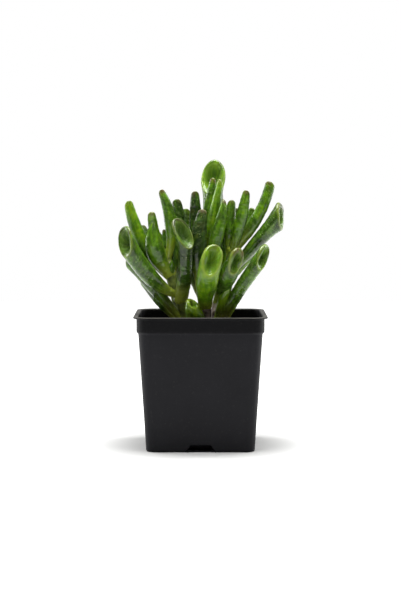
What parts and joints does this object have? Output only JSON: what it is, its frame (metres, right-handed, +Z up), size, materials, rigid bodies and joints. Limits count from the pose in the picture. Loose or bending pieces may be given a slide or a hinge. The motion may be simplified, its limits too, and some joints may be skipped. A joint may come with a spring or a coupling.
{
  "type": "potted trumpet jade",
  "caption": "Trumpet jade succulent with fleshy tubular leaves that end in cupped tips, in a square black plastic nursery pot.",
  "frame": {"origin": "middle of the pot's base, on the surface it stands on", "axes": "+Z up along the plant, +X to the plant's right as seen from the front, -Y towards the front"},
  "size_m": [0.1135, 0.0916, 0.1967],
  "materials": {
    "pot_plastic": "satin charcoal injection-moulded plastic",
    "potting_mix": "rough dark potting mix",
    "leaf": "waxy green, fleshy"
  },
  "bodies": {
    "root": {"pot": "pot_plastic", "soil": "potting_mix", "left_shoot": "leaf", "centre_shoot": "leaf", "right_shoot": "leaf", "back_left_shoot": "leaf", "back_right_shoot": "leaf"}
  },
  "joints": []
}
